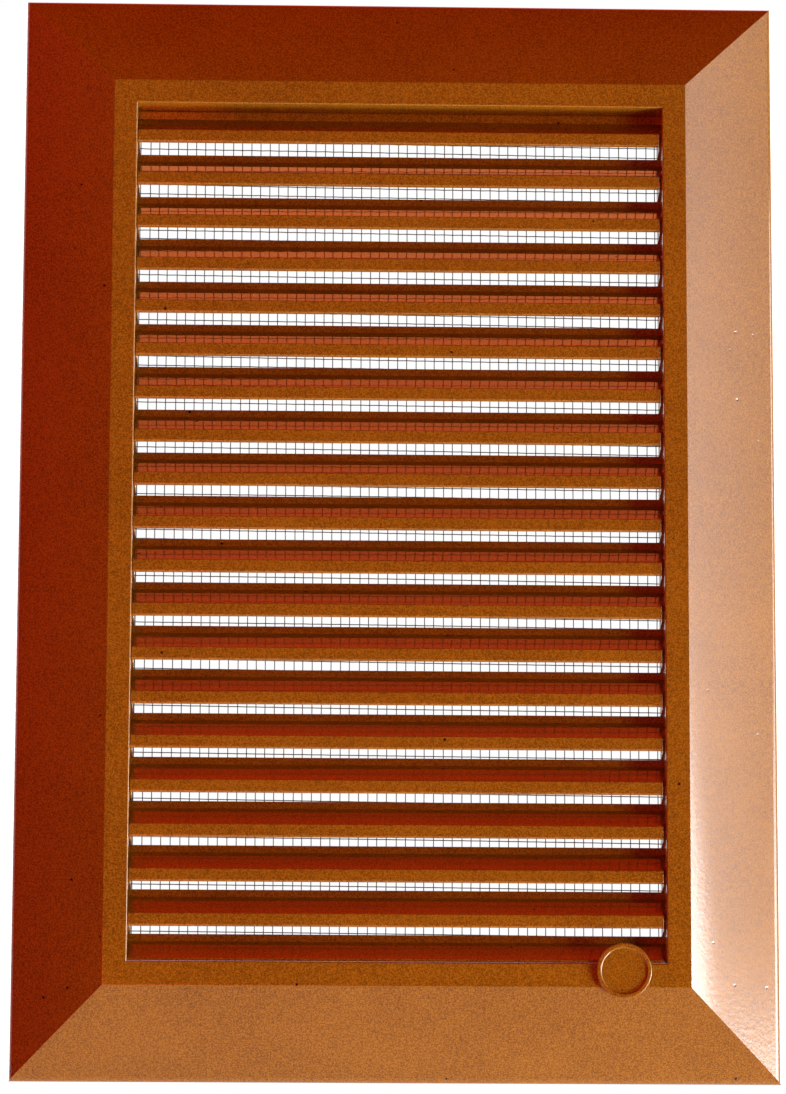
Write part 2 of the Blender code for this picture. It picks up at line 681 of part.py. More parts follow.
def make_screen_frame(material):
    """Flat frame with a stiffening upstand round its window."""
    window_u = SCREEN_FRAME_INSET
    edge_u = COLLAR_INNER_U - FIT
    upstand_y = SCREEN_FRAME_BACK_Y + SCREEN_FRAME_UPSTAND
    section = [
        (window_u, SCREEN_FRAME_FRONT_Y),
        (edge_u, SCREEN_FRAME_FRONT_Y),
        (edge_u, SCREEN_FRAME_BACK_Y),
        (window_u + SCREEN_FRAME_UPSTAND_WALL, SCREEN_FRAME_BACK_Y),
        (window_u + SCREEN_FRAME_UPSTAND_WALL, upstand_y),
        (window_u, upstand_y),
    ]
    mesh = mitred_ring("screen_frame", section, HALF_OPENING_WIDTH, HALF_OPENING_HEIGHT)
    return add_part("screen_frame", mesh, material)


def disc_seat_cutter():
    """Everything behind a line that clears the ring and the slope below it."""
    lifted = slope_points(FIT)
    outline = [(-2 * DISC_RADIUS, RING_Y - FIT), (RING_WIDTH, RING_Y - FIT)]
    outline += [tuple(point) for point in lifted]
    outline += [(lifted[-1].x, 0), (-2 * DISC_RADIUS, 0)]
    lower_edge = axes((0, 0, -1), (0, 1, 0), (1, 0, 0), (DISC_X, 0, -HALF_OPENING_HEIGHT))
    return extruded_outline("disc_seat", outline, 3 * DISC_RADIUS, lower_edge)


def make_round_disc(material):
    """Bare raised disc with a rim. Its back follows the ring and the slope, and a peg enters the ring."""
    floor_radius = DISC_RADIUS - DISC_RIM_WIDTH
    profile = filleted([
        (0, DISC_FLOOR_Y, 0),
        (floor_radius, DISC_FLOOR_Y, DISC_EDGE_RADIUS / 2),
        (floor_radius, DISC_FRONT_Y, DISC_EDGE_RADIUS / 2),
        (DISC_RADIUS, DISC_FRONT_Y, DISC_EDGE_RADIUS),
        (DISC_RADIUS, RING_BACK_Y, 0),
        (0, RING_BACK_Y, 0),
    ])
    mesh = turned("round_disc", profile, DISC_STEPS)
    mesh.transform(Matrix.Translation((DISC_X, 0, DISC_Z)) @ Matrix.Rotation(math.radians(-90), 4, "X"))
    disc = add_part("round_disc", close_mesh(mesh), material)
    add_boolean(disc, "DIFFERENCE", add_tool("disc_seat", disc_seat_cutter()))
    peg = rod(
        "disc_peg",
        (DISC_X, RING_Y - FIT - WELD_IN, DISC_Z),
        (DISC_X, DISC_PEG_END_Y, DISC_Z),
        DISC_PEG_RADIUS,
        DISC_STEPS // 2,
    )
    add_boolean(disc, "UNION", add_tool("disc_peg", peg))
    return disc


clear_scene()
parts = make_collection("louvre_vent")
tools = make_collection("cutters_and_joined_forms")

brown_plastic = make_material("brown_plastic", (0.305, 0.072, 0.003), 0.3)
dark_wire = make_material("dark_wire", (0.035, 0.033, 0.03), 0.5, 0.6)

make_front_frame(brown_plastic)
make_blades(brown_plastic)
make_carrier("blade_carrier_left", -1, brown_plastic)
make_carrier("blade_carrier_right", 1, brown_plastic)
make_insect_screen(dark_wire)
make_screen_frame(brown_plastic)
make_round_disc(brown_plastic)
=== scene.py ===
import math
import random

import bmesh
import bpy
from mathutils import Matrix, Vector


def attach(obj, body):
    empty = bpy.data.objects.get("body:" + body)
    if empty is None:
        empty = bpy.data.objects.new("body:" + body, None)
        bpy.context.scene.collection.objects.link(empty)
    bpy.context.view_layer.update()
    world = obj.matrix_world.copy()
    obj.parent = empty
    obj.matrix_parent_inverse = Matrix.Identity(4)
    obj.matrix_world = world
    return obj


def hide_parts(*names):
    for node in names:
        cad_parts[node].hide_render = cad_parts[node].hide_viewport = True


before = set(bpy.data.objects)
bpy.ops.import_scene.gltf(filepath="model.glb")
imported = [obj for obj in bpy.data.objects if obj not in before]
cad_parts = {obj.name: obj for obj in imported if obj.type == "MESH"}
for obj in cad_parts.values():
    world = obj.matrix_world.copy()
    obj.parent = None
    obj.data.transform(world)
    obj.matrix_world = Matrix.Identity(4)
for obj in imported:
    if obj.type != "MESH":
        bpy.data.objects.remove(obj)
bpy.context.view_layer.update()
mm = 0.001

# Camera: low in front, a little to the left of the vent, looking up at it
cameraSetup = {
    "place": (-0.02528, -0.90073, -0.14333),
    "pitch": 0.1579,
    "yaw": -0.0258,
    "roll": -0.0039,
    "focalPixels": 4316.65,
    "centrePixels": (387.64, 534.54),
    "imagePixels": (786, 1094),
    "sensor": 36.0,
}


def makeCamera(setup):
    data = bpy.data.cameras.new("studioCamera")
    camera = bpy.data.objects.new("studioCamera", data)
    bpy.context.scene.collection.objects.link(camera)
    wide, high = setup["imagePixels"]
    data.sensor_width = setup["sensor"]
    data.lens = setup["focalPixels"] * setup["sensor"] / max(wide, high)
    data.shift_x = (wide / 2 - setup["centrePixels"][0]) / max(wide, high)
    data.shift_y = (setup["centrePixels"][1] - high / 2) / max(wide, high)
    data.clip_start = 0.05
    data.clip_end = 20.0
    turn = (
        Matrix.Rotation(setup["yaw"], 4, "Z")
        @ Matrix.Rotation(setup["pitch"], 4, "X")
        @ Matrix.Rotation(setup["roll"], 4, "Y")
    )
    # a camera looks along its own -Z, so a level one is first stood up to look along +Y
    camera.matrix_world = Matrix.Translation(setup["place"]) @ turn @ Matrix.Rotation(math.pi / 2, 4, "X")
    bpy.context.scene.camera = camera


makeCamera(cameraSetup)
print("camera made")


# Materials

def linear(hexColour):
    channels = [int(hexColour[i:i + 2], 16) / 255 for i in (1, 3, 5)]
    return tuple(c / 12.92 if c <= 0.04045 else ((c + 0.055) / 1.055) ** 2.4 for c in channels) + (1.0,)


def addNode(tree, kind, settings=None, links=None, **options):
    node = tree.nodes.new(kind)
    for name, value in options.items():
        setattr(node, name, value)
    for socket, value in (settings or {}).items():
        node.inputs[socket].default_value = value
    for socket, source in (links or {}).items():
        tree.links.new(source, node.inputs[socket])
    return node


def newMaterial(name):
    material = bpy.data.materials.new(name)
    material.use_nodes = True
    material.node_tree.nodes.clear()
    return material, material.node_tree


# Injection-moulded ABS, coloured in the melt: a brown that runs right through, a gloss taken from the
# mould, faint flow marks, and a few dark grains and sink pits. Pigment grains are far finer than
# 0.3 mm and are drawn that coarse so that they show; pits are drawn at the size of the largest ones
mouldedAbs = {
    "brown": "#AA7218",
    "deepBrown": "#6E4006",
    "grainDark": "#2A1204",
    "roughness": 0.1,
    "ior": 1.54,
    "roughnessSpread": 0.03,
    "flowSize": 22 * mm,
    "flowWarp": 0.6,
    "mottleSize": 0.3 * mm,
    "mottleShare": 0.88,  # the rest of the colour's change follows the flow
    "skinSize": 0.9 * mm,
    "skinDepth": 0.008 * mm,
    "pitSpacing": 6 * mm,
    "pitSize": 0.42 * mm,
    "pitDepth": 0.05 * mm,
    "pitThreshold": 0.55,  # share of the cells that stay without a pit
    "raggedSize": 0.5 * mm,
    "raggedness": 0.06,
}
# the blades come off the mould's polished inserts
bladeSkin = {
    "roughness": 0.04,
    "skinDepth": 0.0003 * mm,
}


def makeMouldedAbs(name, look):
    material, tree = newMaterial(name)
    place = addNode(tree, "ShaderNodeTexCoord").outputs["Object"]
    flow = addNode(tree, "ShaderNodeTexNoise",
                   {"Scale": 1 / look["flowSize"], "Detail": 3.0, "Distortion": look["flowWarp"]},
                   {"Vector": place})
    mottle = addNode(tree, "ShaderNodeTexNoise",
                     {"Scale": 1 / look["mottleSize"], "Detail": 4.0, "Roughness": 0.7}, {"Vector": place})
    flowShare = addNode(tree, "ShaderNodeMapRange", {"From Min": 0.35, "From Max": 0.65},
                        {"Value": flow.outputs["Fac"]})
    mottleShare = addNode(tree, "ShaderNodeMapRange", {"From Min": 0.4, "From Max": 0.6},
                          {"Value": mottle.outputs["Fac"]})
    share = addNode(tree, "ShaderNodeMix", {"Factor": look["mottleShare"]},
                    {"A": flowShare.outputs["Result"], "B": mottleShare.outputs["Result"]}, data_type="FLOAT")
    brown = addNode(tree, "ShaderNodeMix", {"A": linear(look["brown"]), "B": linear(look["deepBrown"])},
                    {"Factor": share.outputs["Result"]}, data_type="RGBA")
    # pits: one grain in each cell, kept only in the cells with a high random value
    cells = addNode(tree, "ShaderNodeTexVoronoi", {"Scale": 1 / look["pitSpacing"], "Randomness": 1.0},
                    {"Vector": place})
    chosen = addNode(tree, "ShaderNodeSeparateColor", None, {"Color": cells.outputs["Color"]})
    keep = addNode(tree, "ShaderNodeMath", {1: look["pitThreshold"]}, {0: chosen.outputs["Red"]},
                   operation="GREATER_THAN")
    ragged = addNode(tree, "ShaderNodeTexNoise", {"Scale": 1 / look["raggedSize"], "Detail": 2.0},
                     {"Vector": place})
    edge = addNode(tree, "ShaderNodeMath", {1: look["raggedness"], 2: -look["raggedness"] / 2},
                   {0: ragged.outputs["Fac"]}, operation="MULTIPLY_ADD")
    reach = addNode(tree, "ShaderNodeMath", None, {0: cells.outputs["Distance"], 1: edge.outputs["Value"]},
                    operation="ADD")
    radius = look["pitSize"] / look["pitSpacing"]
    dot = addNode(tree, "ShaderNodeMapRange",
                  {"From Min": radius * 0.5, "From Max": radius, "To Min": 1.0, "To Max": 0.0},
                  {"Value": reach.outputs["Value"]})
    pit = addNode(tree, "ShaderNodeMath", None, {0: dot.outputs["Result"], 1: keep.outputs["Value"]},
                  operation="MULTIPLY")
    grained = addNode(tree, "ShaderNodeMix", {"B": linear(look["grainDark"])},
                      {"Factor": pit.outputs["Value"], "A": brown.outputs["Result"]}, data_type="RGBA")
    gloss = addNode(tree, "ShaderNodeMapRange",
                    {"To Min": look["roughness"] - look["roughnessSpread"],
                     "To Max": look["roughness"] + look["roughnessSpread"]},
                    {"Value": mottle.outputs["Fac"]})
    skin = addNode(tree, "ShaderNodeTexNoise", {"Scale": 1 / look["skinSize"], "Detail": 2.0},
                   {"Vector": place})
    skinBump = addNode(tree, "ShaderNodeBump", {"Strength": 1.0, "Distance": look["skinDepth"]},
                       {"Height": skin.outputs["Fac"]})
    pitBump = addNode(tree, "ShaderNodeBump", {"Strength": 1.0, "Distance": look["pitDepth"]},
                      {"Height": pit.outputs["Value"], "Normal": skinBump.outputs["Normal"]}, invert=True)
    shader = addNode(tree, "ShaderNodeBsdfPrincipled", {"IOR": look["ior"]},
                     {"Base Color": grained.outputs["Result"], "Roughness": gloss.outputs["Result"],
                      "Normal": pitBump.outputs["Normal"]})
    addNode(tree, "ShaderNodeOutputMaterial", None, {"Surface": shader.outputs["BSDF"]})
    return material


# Drawn wire with a dark coat, woven plain: a dull sheen along each wire, a little lighter where the
# coat has rubbed on the crowns
coatedWire = {
    "dark": "#33261C",
    "rubbed": "#57432F",
    "roughness": 0.42,
    "roughnessSpread": 0.08,
    "metallic": 0.5,  # half of what is seen is coat, half is steel
    "rubSize": 0.7 * mm,
}


def makeCoatedWire(name, look):
    material, tree = newMaterial(name)
    place = addNode(tree, "ShaderNodeTexCoord").outputs["Object"]
    rub = addNode(tree, "ShaderNodeTexNoise", {"Scale": 1 / look["rubSize"], "Detail": 3.0},
                  {"Vector": place})
    share = addNode(tree, "ShaderNodeMapRange", {"From Min": 0.45, "From Max": 0.7},
                    {"Value": rub.outputs["Fac"]})
    colour = addNode(tree, "ShaderNodeMix", {"A": linear(look["dark"]), "B": linear(look["rubbed"])},
                     {"Factor": share.outputs["Result"]}, data_type="RGBA")
    gloss = addNode(tree, "ShaderNodeMapRange",
                    {"To Min": look["roughness"] - look["roughnessSpread"],
                     "To Max": look["roughness"] + look["roughnessSpread"]},
                    {"Value": rub.outputs["Fac"]})
    shader = addNode(tree, "ShaderNodeBsdfPrincipled", {"Metallic": look["metallic"]},
                     {"Base Color": colour.outputs["Result"], "Roughness": gloss.outputs["Result"]})
    addNode(tree, "ShaderNodeOutputMaterial", None, {"Surface": shader.outputs["BSDF"]})
    return material


absFrame = makeMouldedAbs("mouldedAbsFrame", mouldedAbs)
absBlade = makeMouldedAbs("mouldedAbsBlade", dict(mouldedAbs, **bladeSkin))
wireCoat = makeCoatedWire("coatedWovenWire", coatedWire)
print("materials made")


# Mesh helpers: a section is drawn as (u, y), u outward from the opening's edge and y into the wall

def roundedOutline(corners, steps):
    # corners are (a, b, radius); each rounded one becomes a short arc
    outline = []
    for i, (a, b, radius) in enumerate(corners):
        here = Vector((a, b))
        if radius == 0:
            outline.append(here)
            continue
        before = Vector(corners[i - 1][:2])
        after = Vector(corners[(i + 1) % len(corners)][:2])
        toBefore = (before - here).normalized()
        toAfter = (after - here).normalized()
        halfAngle = toBefore.angle(toAfter) / 2
        centre = here + (toBefore + toAfter).normalized() * radius / math.sin(halfAngle)
        start = here + toBefore * radius / math.tan(halfAngle) - centre
        end = here + toAfter * radius / math.tan(halfAngle) - centre
        turn = start.angle_signed(end)
        for step in range(steps + 1):
            angle = -turn * step / steps
            outline.append(centre + Vector((
                start.x * math.cos(angle) - start.y * math.sin(angle),
                start.x * math.sin(angle) + start.y * math.cos(angle),
            )))
    return outline


def newPiece(name, bm, material=None):
    bmesh.ops.recalc_face_normals(bm, faces=bm.faces)
    mesh = bpy.data.meshes.new(name)
    bm.to_mesh(mesh)
    bm.free()
    piece = bpy.data.objects.new(name, mesh)
    bpy.context.scene.collection.objects.link(piece)
    if material:
        mesh.materials.append(material)
    return piece


def mitredSweep(section, halfWide, halfHigh):
    # closed section carried round a rectangle, with mitred corners
    bm = bmesh.new()
    corners = ((-1, -1), (1, -1), (1, 1), (-1, 1))
    rings = []
    for sx, sz in corners:
        rings.append([bm.verts.new((sx * (halfWide + u), y, sz * (halfHigh + u))) for u, y in section])
    for i in range(4):
        here, there = rings[i], rings[(i + 1) % 4]
        for j in range(len(section)):
            k = (j + 1) % len(section)
            bm.faces.new((here[j], here[k], there[k], there[j]))
    return bm


def addSlab(bm, outline, length, placement):
    # outline in the placement's first two axes, centred along its third
    low = [bm.verts.new(placement @ Vector((a, b, -length / 2))) for a, b in outline]
    high = [bm.verts.new(placement @ Vector((a, b, length / 2))) for a, b in outline]
    bm.faces.new(low)
    bm.faces.new(high)
    for i in range(len(outline)):
        k = (i + 1) % len(outline)
        bm.faces.new((low[i], low[k], high[k], high[i]))


def addBox(bm, low, high):
    made = bmesh.ops.create_cube(bm, size=1.0)["verts"]
    for vert in made:
        vert.co = Vector([low[i] if vert.co[i] < 0 else high[i] for i in range(3)])


def placementOf(first, second, third, origin=(0, 0, 0)):
    matrix = Matrix((first, second, third)).transposed().to_4x4()
    matrix.translation = origin
    return matrix


def cutOrJoin(piece, operation, bm):
    tool = newPiece("tool", bm)
    change = piece.modifiers.new("change", "BOOLEAN")
    change.operation = operation
    change.solver = "EXACT"
    change.object = tool
    applyModifiers(piece)
    bpy.data.objects.remove(tool)


def applyModifiers(piece):
    bpy.context.view_layer.update()
    shaped = bpy.data.meshes.new_from_object(piece.evaluated_get(bpy.context.evaluated_depsgraph_get()))
    piece.modifiers.clear()
    old = piece.data
    piece.data = shaped
    bpy.data.meshes.remove(old)


def finishShading(piece, sharpDegrees=24):
    piece.data.shade_smooth()
    piece.data.set_sharp_from_angle(angle=math.radians(sharpDegrees))
    weight = piece.modifiers.new("flatFacesStayFlat", "WEIGHTED_NORMAL")
    weight.keep_sharp = True


def finishPiece(piece, node):
    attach(piece, "root")
    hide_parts(node)


# Moulded frame: the border falls from a flat ring to a thin rim, the collar goes into the wall
frameLook = {
    "wide": 160 * mm,
    "high": 230 * mm,
    "faceHeight": 11.5 * mm,
    "border": 19.5 * mm,
    "ring": 4.95 * mm,
    "wall": 2.0 * mm,
    "bulge": 0.35 * mm,
    "creaseRadius": 0.5 * mm,
    "rimRadius": 2.2 * mm,
    "rimSide": 1.2 * mm,
    "rimFoot": 2.4 * mm,
    "mouthRadius": 0.4 * mm,
    "wallOverlap": 12.0 * mm,
    "collarWall": 1.8 * mm,
    "collarReach": 14.0 * mm,
    "collarLead": 1.0 * mm,
    "tubeWall": 1.8 * mm,
    "tubeBack": -2.6 * mm,
    "sideRecess": 2.1 * mm,
    "gussetThickness": 1.2 * mm,
    "gussetRelief": 0.6 * mm,
    "outerGussets": (5, 3),
    "innerGussets": (4, 2),
    "crushRibs": (3, 2),
    "crushRibHeight": 2.0 * mm,
    "crushRibWidth": 1.2 * mm,
    "crushRibLead": 6.0 * mm,
    "lugs": (2, 1),
    "lugReach": 1.0 * mm,
    "lugLength": 12.0 * mm,
    "lugDepth": 2.4 * mm,
    "lugFace": 0.35 * mm,
    "arcSteps": 8,
    "slopeSteps": 28,
    "overrun": 1.0 * mm,
    "rootDepth": 0.4 * mm,
    "edgeSoftening": 0.15 * mm,
}
halfWide = frameLook["wide"] / 2 - frameLook["border"] - frameLook["ring"]
halfHigh = frameLook["high"] / 2 - frameLook["border"] - frameLook["ring"]


def slopeLine(look):
    rimU = look["border"] + look["ring"]
    crease = Vector((look["ring"], -look["faceHeight"]))
    centre = Vector((rimU - look["rimRadius"], -look["rimSide"]))
    reach = centre - crease
    angle = math.atan2(reach.y, reach.x) - math.asin(look["rimRadius"] / reach.length)
    end = centre + Vector((math.sin(angle), -math.cos(angle))) * look["rimRadius"]
    return crease, end, angle, centre


def undersideY(look, u):
    crease, end, angle, centre = slopeLine(look)
    foot = crease + Vector((-math.sin(angle), math.cos(angle))) * look["wall"]
    return foot.y + (u - foot.x) * math.tan(angle)


def frameSection(look):
    crease, end, angle, centre = slopeLine(look)
    outward = Vector((math.sin(angle), -math.cos(angle)))
    ringY = -look["faceHeight"]
    ringBack = ringY + look["wall"]
    corners = [
        (-look["overrun"], ringBack, 0),
        (-look["overrun"], ringY, 0),
        (look["ring"], ringY, look["creaseRadius"]),
    ]
    for step in range(1, look["slopeSteps"]):
        share = step / look["slopeSteps"]
        point = crease.lerp(end, share) + outward * look["bulge"] * 4 * share * (1 - share)
        corners.append((point.x, point.y, 0))
    for step in range(look["arcSteps"] + 1):
        turn = angle + (math.pi / 2 - angle) * step / look["arcSteps"]
        point = centre + Vector((math.sin(turn), -math.cos(turn))) * look["rimRadius"]
        corners.append((point.x, point.y, 0))
    rimU = look["border"] + look["ring"]
    rimInner = rimU - look["rimFoot"]
    collarU = rimU - look["wallOverlap"]
    collarInner = collarU - look["collarWall"]
    rootY = undersideY(look, collarInner)
    corners += [
        (rimU, 0, look["edgeSoftening"]),
        (rimInner, 0, look["edgeSoftening"]),
        (rimInner, undersideY(look, rimInner), 0),
        (collarU, undersideY(look, collarU), 0),
        (collarU, look["collarReach"] - look["collarLead"], 0),
        (collarU - look["collarLead"] / 2, look["collarReach"], 0),
        (collarInner, look["collarReach"], look["edgeSoftening"]),
        (collarInner, rootY, 0),
        (collarInner - (rootY - ringBack) / math.tan(angle), ringBack, 0),
    ]
    return roundedOutline(corners, look["arcSteps"] // 2)


def evenly(halfLength, count):
    step = 2 * halfLength / count
    return [-halfLength + step * (i + 0.5) for i in range(count)]


def sidePlacements(counts):
    # one placement for each rib: u and y first, then along the edge
    made = []
    for sign in (-1, 1):
        for z in evenly(halfHigh, counts[0]):
            made.append((True, placementOf((sign, 0, 0), (0, 1, 0), (0, 0, sign), (sign * halfWide, 0, z))))
        for x in evenly(halfWide, counts[1]):
            made.append((False, placementOf((0, 0, sign), (0, 1, 0), (-sign, 0, 0), (x, 0, sign * halfHigh))))
    return made


def makeFrame(look):
    piece = newPiece("mouldedFrame", mitredSweep(frameSection(look), halfWide, halfHigh))
    ringY = -look["faceHeight"]
    ringBack = ringY + look["wall"]
    rimU = look["border"] + look["ring"]
    rimInner = rimU - look["rimFoot"]
    collarU = rimU - look["wallOverlap"]
    collarInner = collarU - look["collarWall"]
    root = look["rootDepth"]
    recessHalf = halfWide + look["sideRecess"]
    over = look["overrun"]
    bm = bmesh.new()
    wall = look["tubeWall"]
    addBox(bm, (-recessHalf - wall, ringBack - over, -halfHigh - wall),
           (recessHalf + wall, look["tubeBack"], halfHigh + wall))
    cutOrJoin(piece, "UNION", bm)
    bm = bmesh.new()
    addBox(bm, (-recessHalf, ringBack, -halfHigh), (recessHalf, look["tubeBack"] + over, halfHigh))
    cutOrJoin(piece, "DIFFERENCE", bm)
    # the opening's mouth, flared by the rounding of its front edge
    mouth = [(0, look["tubeBack"] + over), (0, ringY + look["mouthRadius"])]
    for step in range(1, look["arcSteps"] + 1):
        angle = math.pi / 2 * step / look["arcSteps"]
        mouth.append((look["mouthRadius"] * (1 - math.cos(angle)),
                      ringY + look["mouthRadius"] * (1 - math.sin(angle))))
    mouth.append((look["mouthRadius"], ringY - over))
    bm = bmesh.new()
    rings = []
    for u, y in mouth:
        corners = ((-1, -1), (1, -1), (1, 1), (-1, 1))
        rings.append([bm.verts.new((sx * (halfWide + u), y, sz * (halfHigh + u))) for sx, sz in corners])
    for here, there in zip(rings, rings[1:]):
        for i in range(4):
            k = (i + 1) % 4
            bm.faces.new((here[i], here[k], there[k], there[i]))
    bm.faces.new(rings[0])
    bm.faces.new(rings[-1])
    cutOrJoin(piece, "DIFFERENCE", bm)
    bm = bmesh.new()
    for onLongSide, placement in sidePlacements(look["outerGussets"]):
        addSlab(bm, [
            (collarU - root, -look["gussetRelief"]),
            (collarU - root, undersideY(look, collarU) - root),
            (rimInner + root, undersideY(look, rimInner) - root),
            (rimInner + root, -look["gussetRelief"]),
        ], look["gussetThickness"], placement)
    for onLongSide, placement in sidePlacements(look["innerGussets"]):
        start = (look["sideRecess"] if onLongSide else 0) + wall - root
        addSlab(bm, [
            (start, look["tubeBack"] - look["gussetRelief"]),
            (start, ringBack - root),
            (look["ring"], ringBack - root),
            (collarInner + root, undersideY(look, collarInner) - root),
            (collarInner + root, look["tubeBack"] - look["gussetRelief"]),
        ], look["gussetThickness"], placement)
    lead = look["collarLead"]
    for onLongSide, placement in sidePlacements(look["crushRibs"]):
        addSlab(bm, [
            (collarU - root, lead),
            (collarU + look["crushRibHeight"], lead + look["crushRibHeight"]),
            (collarU + look["crushRibHeight"], look["collarReach"] - lead - look["crushRibLead"]),
            (collarU - root, look["collarReach"] - lead),
        ], look["crushRibWidth"], placement)
    for onLongSide, placement in sidePlacements(look["lugs"]):
        addSlab(bm, [
            (collarInner + root, look["lugFace"]),
            (collarInner - look["lugReach"], look["lugFace"]),
            (collarInner - look["lugReach"], look["lugFace"] + root),
            (collarInner + root, look["lugFace"] + look["lugDepth"]),
        ], look["lugLength"], placement)
    cutOrJoin(piece, "UNION", bm)
    piece.data.materials.clear()
    piece.data.materials.append(absFrame)
    finishShading(piece)
    finishPiece(piece, "front_frame")


makeFrame(frameLook)
print("frame made")


# Blades: a rising plate with a lip hanging from its front edge and an upright flange along its back
bladeLook = {
    "count": 20,
    "pitch": 9.2 * mm,
    "topLip": 82.2 * mm,
    "lipY": -11.0 * mm,
    "depth": 7.6 * mm,
    "thickness": 1.4 * mm,
    "lipHeight": 2.65 * mm,
    "rise": 8.0 * mm,
    "flangeWall": 0.9 * mm,
    "flangeHeight": 1.5 * mm,
    "lowerRadius": 0.42 * mm,
    "upperRadius": 0.22 * mm,
    "flangeRadius": 0.25 * mm,
    "arcSteps": 7,
    "left": -55.45 * mm,
    "right": 54.98 * mm,
    "endSoftening": 0.12 * mm,
    "endSegments": 3,
    "tongueHalfLength": 56.3 * mm,
    "tongueFront": 2.1 * mm,
    "tongueInset": 0.02 * mm,
    "tongueRoot": 0.3 * mm,  # how far a tongue reaches into the blade
    "sillFloor": 2.1 * mm,
    "sillNoseRadius": 0.15 * mm,
    "topRise": 8.33 * mm,  # the first blade's flange meets the top wall
}


def plateTop(look, t):
    # height of the plate's upper face above the lip's lower edge, t behind the lip's front
    slope = (look["rise"] - look["flangeHeight"] - look["lipHeight"]) / (look["depth"] - look["flangeWall"])
    return look["lipHeight"] + slope * t


def plateBottom(look, t):
    slope = (plateTop(look, look["depth"]) - plateTop(look, 0)) / look["depth"]
    return plateTop(look, t) - look["thickness"] * math.hypot(1, slope)


def bladeOutline(look, isSill):
    depth, rise, thick = look["depth"], look["rise"], look["thickness"]
    flangeFront = depth - look["flangeWall"]
    soft = look["flangeRadius"]
    back = [
        (flangeFront, plateTop(look, flangeFront), soft),
        (flangeFront, rise, soft),
        (depth, rise, soft),
        (depth, plateBottom(look, depth), soft),
    ]
    if isSill:
        floor = look["sillFloor"]
        level = depth * (floor - plateBottom(look, 0)) / (plateBottom(look, depth) - plateBottom(look, 0))
        nose = [(0, floor, 0), (0, look["lipHeight"], look["sillNoseRadius"])]
        return roundedOutline(nose + back + [(level, floor, 0)], look["arcSteps"])
    return roundedOutline([
        (0, 0, look["lowerRadius"]),
        (0, look["lipHeight"], look["upperRadius"]),
    ] + back + [
        (thick, plateBottom(look, thick), look["upperRadius"]),
        (thick, 0, look["lowerRadius"]),
    ], look["arcSteps"])


def makeBlade(look, index):
    isSill = index == look["count"] - 1
    if index == 0:
        taller = look["topRise"] - look["rise"]
        look = dict(look, rise=look["topRise"], flangeHeight=look["flangeHeight"] + taller)
    name = "sillBlade" if isSill else "louvreBlade%02d" % (index + 1)
    lipZ = look["topLip"] - index * look["pitch"]
    bm = bmesh.new()
    middle = (look["left"] + look["right"]) / 2
    addSlab(bm, bladeOutline(look, isSill), look["right"] - look["left"],
            placementOf((0, 1, 0), (0, 0, 1), (1, 0, 0), (middle, look["lipY"], lipZ)))
    piece = newPiece(name, bm)
    edge = piece.modifiers.new("mouldedEnds", "BEVEL")
    edge.width = look["endSoftening"]
    edge.segments = look["endSegments"]
    edge.limit_method = "ANGLE"
    edge.angle_limit = math.radians(60)
    edge.use_clamp_overlap = False
    applyModifiers(piece)
    # tongues at both ends, standing in the carriers
    inner = look["tongueInset"]
    front, back = look["tongueFront"], look["depth"] - inner
    flangeFront = look["depth"] - look["flangeWall"] + inner
    outline = [(front, plateTop(look, front) - inner), (flangeFront, plateTop(look, flangeFront) - inner),
               (flangeFront, look["rise"] - inner), (back, look["rise"] - inner),
               (back, plateBottom(look, back) + inner), (front, plateBottom(look, front) + inner)]
    bm = bmesh.new()
    bm.from_mesh(piece.data)
    for end, sign in ((look["left"], -1), (look["right"], 1)):
        reach = sign * look["tongueHalfLength"]
        start = end - sign * look["tongueRoot"]
        addSlab(bm, outline, abs(reach - start),
                placementOf((0, 1, 0), (0, 0, 1), (1, 0, 0), ((reach + start) / 2, look["lipY"], lipZ)))
    bmesh.ops.recalc_face_normals(bm, faces=bm.faces)
    bm.to_mesh(piece.data)
    bm.free()
    piece.data.materials.clear()
    piece.data.materials.append(absBlade)
    finishShading(piece, 35)
    finishPiece(piece, "sill_blade" if isSill else "louvre_blade_%02d" % (index + 1))


for bladeIndex in range(bladeLook["count"]):
    makeBlade(bladeLook, bladeIndex)
print("blades made")


# Blade carriers: a side wall on each side, with raised pads between the blades
carrierLook = {
    "frontY": -9.2 * mm,
    "backY": -2.6 * mm,
    "outer": 57.35 * mm,
    "inner": 55.55 * mm,
    "padReach": 0.45 * mm,
    "padRoot": 0.1 * mm,
    "halfHigh": 90.25 * mm,
    "sightGap": 1.2 * mm,
    "seam": 0.02 * mm,
    "edgeSoftening": 0.06 * mm,
}


